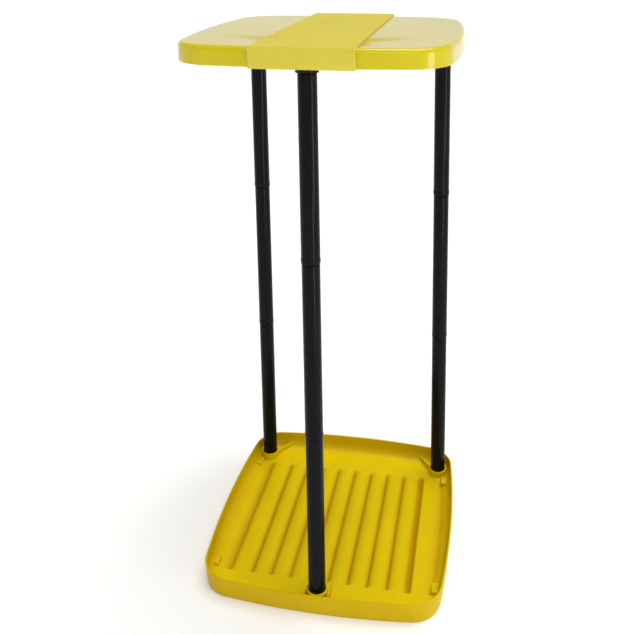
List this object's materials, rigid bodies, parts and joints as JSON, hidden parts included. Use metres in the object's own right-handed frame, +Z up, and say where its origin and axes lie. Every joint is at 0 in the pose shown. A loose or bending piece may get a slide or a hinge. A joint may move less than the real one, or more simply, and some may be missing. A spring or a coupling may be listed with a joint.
{
  "type": "bag holder",
  "caption": "Free-standing bag holder: ribbed tray, leaning push-fit poles, a hoop for the bag's mouth and a lid hinged at the back.",
  "frame": {"origin": "centre of the tray's footprint on the ground", "axes": "+Z up, -Y towards the front with the single pole, +X to the right seen from the front"},
  "size_m": [0.408, 0.4119, 0.8625],
  "materials": {
    "yellow_polypropylene": "moulded, satin gloss",
    "black_polypropylene": "moulded, glossy",
    "steel_pin": "drawn wire"
  },
  "bodies": {
    "stand": {"base_tray": "yellow_polypropylene", "front_pole_lower_tube": "black_polypropylene", "front_pole_middle_tube": "black_polypropylene", "front_pole_upper_tube": "black_polypropylene", "left_pole_lower_tube": "black_polypropylene", "left_pole_middle_tube": "black_polypropylene", "left_pole_upper_tube": "black_polypropylene", "right_pole_lower_tube": "black_polypropylene", "right_pole_middle_tube": "black_polypropylene", "right_pole_upper_tube": "black_polypropylene", "bag_hoop": "black_polypropylene", "left_hinge_pin": "steel_pin", "right_hinge_pin": "steel_pin"},
    "lid": {"lid": "yellow_polypropylene"}
  },
  "joints": [
    {"name": "lid_hinge", "type": "hinge", "parent": "stand", "child": "lid", "pos_m": [0, 0.173, 0.844], "axis": [-1, 0, 0], "range_deg": [0, 105]}
  ]
}
